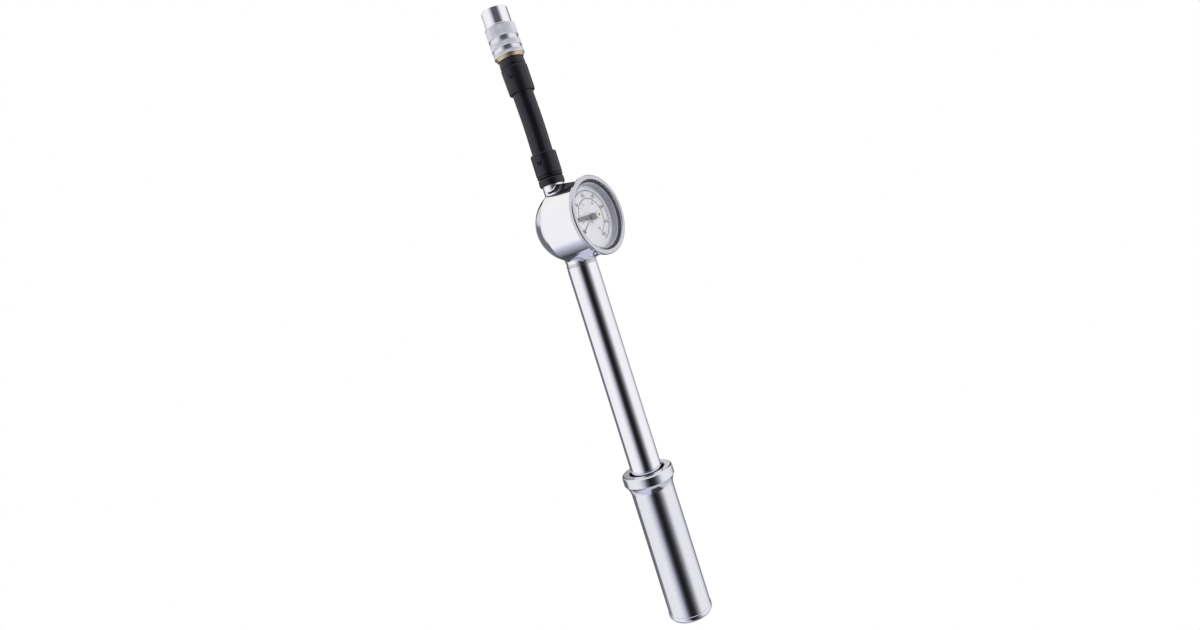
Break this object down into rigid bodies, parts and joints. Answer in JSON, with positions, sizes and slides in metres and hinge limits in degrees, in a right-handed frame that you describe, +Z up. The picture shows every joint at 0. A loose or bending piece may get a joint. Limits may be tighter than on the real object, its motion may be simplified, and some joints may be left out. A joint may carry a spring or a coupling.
{
  "type": "shock suspension pump",
  "caption": "Hand pump for bicycle suspension: pull-out handle below a slim barrel, round pressure gauge with a domed back, short stiff hose and a two-stage screw-on valve chuck.",
  "frame": {"origin": "Centre of the flat end face of the handle, on which the closed pump stands", "axes": "+Z runs up the barrel to the hose and the chuck, the dial faces -Y, +X is to the right of someone who reads the dial"},
  "size_m": [0.031, 0.0282, 0.2472],
  "materials": {
    "polished_chrome": "polished chrome plate",
    "barrel_chrome": "polished chrome plate with fine drawing lines",
    "satin_aluminium": "satin anodised",
    "steel": "turned, bright",
    "brass": "turned, bright",
    "black_ferrule": "matte black",
    "black_rubber": "smooth",
    "hose_rubber": "smooth, slightly glossy",
    "white_dial": "matte white",
    "pale_plastic": "satin",
    "lens": "clear moulded window",
    "needle_paint": "dark brown grey"
  },
  "bodies": {
    "pump_body": {"barrel_tube": "barrel_chrome", "barrel_end_bush": "brass", "rod_wiper_ring": "black_rubber", "barrel_seal_ring": "steel", "gauge_housing": "polished_chrome", "gauge_bezel": "polished_chrome", "gauge_lens": "lens", "lens_gasket": "black_rubber", "dial_spacer_ring": "pale_plastic", "dial_face": "white_dial", "needle_stop_pin": "steel", "movement_rear_plate": "brass", "movement_front_plate": "brass", "movement_pillars": "brass", "movement_screws": "steel", "bourdon_socket": "brass", "bourdon_tube": "brass", "hairspring": "steel", "valve_seat": "brass", "check_spring": "steel", "port_nut": "black_ferrule"},
    "check_valve_ball": {"check_ball": "steel"},
    "piston": {"piston_head": "brass", "piston_seal": "black_rubber", "piston_wear_ring": "pale_plastic"},
    "handle": {"handle_sleeve": "satin_aluminium", "handle_end_cap": "satin_aluminium", "rod_lock_nut": "steel", "rod_bumper": "black_rubber", "piston_rod": "steel"},
    "hose_base": {"hose_tail": "brass", "swivel_oring": "black_rubber", "lower_ferrule": "black_ferrule", "hose_lower": "hose_rubber"},
    "chuck": {"hose_upper": "hose_rubber", "upper_ferrule": "black_ferrule", "chuck_nut": "black_ferrule", "chuck_stem": "brass", "stem_oring": "black_rubber", "nozzle_clip": "steel"},
    "nozzle": {"valve_nozzle": "polished_chrome", "valve_gasket": "black_rubber"},
    "collar": {"knurled_collar": "polished_chrome"},
    "depressor": {"core_pin": "steel"},
    "needle": {"needle_pointer": "needle_paint", "needle_hub": "brass", "pinion_arbor": "steel"},
    "sector": {"sector_gear": "brass", "sector_arbor": "steel"},
    "link": {"bourdon_link": "steel"}
  },
  "joints": [
    {"name": "pump_stroke", "type": "slide", "parent": "pump_body", "child": "piston", "axis": [0, 0, -1], "range_m": [0, 0.12]},
    {"name": "handle_turn", "type": "hinge", "parent": "piston", "child": "handle", "pos_m": [0, 0, 0.1], "axis": [0, 0, 1], "continuous": true},
    {"name": "hose_swivel", "type": "hinge", "parent": "pump_body", "child": "hose_base", "pos_m": [0, 0.0019, 0.1781], "axis": [0, 0, 1], "continuous": true},
    {"name": "hose_bend", "type": "hinge", "parent": "hose_base", "child": "chuck", "pos_m": [0, 0.0019, 0.20045], "axis": [1, 0, 0], "range_deg": [-40, 40], "stiffness_Nm_per_rad": 0.3},
    {"name": "nozzle_spin", "type": "hinge", "parent": "chuck", "child": "nozzle", "pos_m": [-0.00088, 0.003, 0.24298], "axis": [-0.0207, 0.0259, 0.9995], "continuous": true},
    {"name": "collar_turn", "type": "hinge", "parent": "chuck", "child": "collar", "pos_m": [-0.00069, 0.00277, 0.23398], "axis": [-0.0207, 0.0259, 0.9995], "range_deg": [0, 540]},
    {"name": "depressor_slide", "type": "slide", "parent": "chuck", "child": "depressor", "axis": [-0.0207, 0.0259, 0.9995], "range_m": [0, 0.0022]},
    {"name": "sector_swing", "type": "hinge", "parent": "pump_body", "child": "sector", "pos_m": [0.005, -0.0086, 0.1529], "axis": [0, -1, 0], "range_deg": [0, 30], "stiffness_Nm_per_rad": 0.002},
    {"name": "needle_turn", "type": "hinge", "parent": "pump_body", "child": "needle", "pos_m": [0, -0.012, 0.1581], "axis": [0, 1, 0], "range_deg": [0, 240]},
    {"name": "link_turn", "type": "hinge", "parent": "sector", "child": "link", "pos_m": [0.00782, -0.009, 0.15187], "axis": [0, -1, 0], "range_deg": [-30, 0]},
    {"name": "check_ball_lift", "type": "slide", "parent": "pump_body", "child": "check_valve_ball", "axis": [0, 0, 1], "range_m": [0, 0.0012], "stiffness_N_per_m": 40, "deforming": ["check_spring"]}
  ],
  "couplings": [
    {"joint": "needle_turn", "follows": "sector_swing", "ratio": 8},
    {"joint": "link_turn", "follows": "sector_swing", "ratio": -1},
    {"joint": "depressor_slide", "follows": "collar_turn", "m_per_rad": 0.00023342}
  ]
}
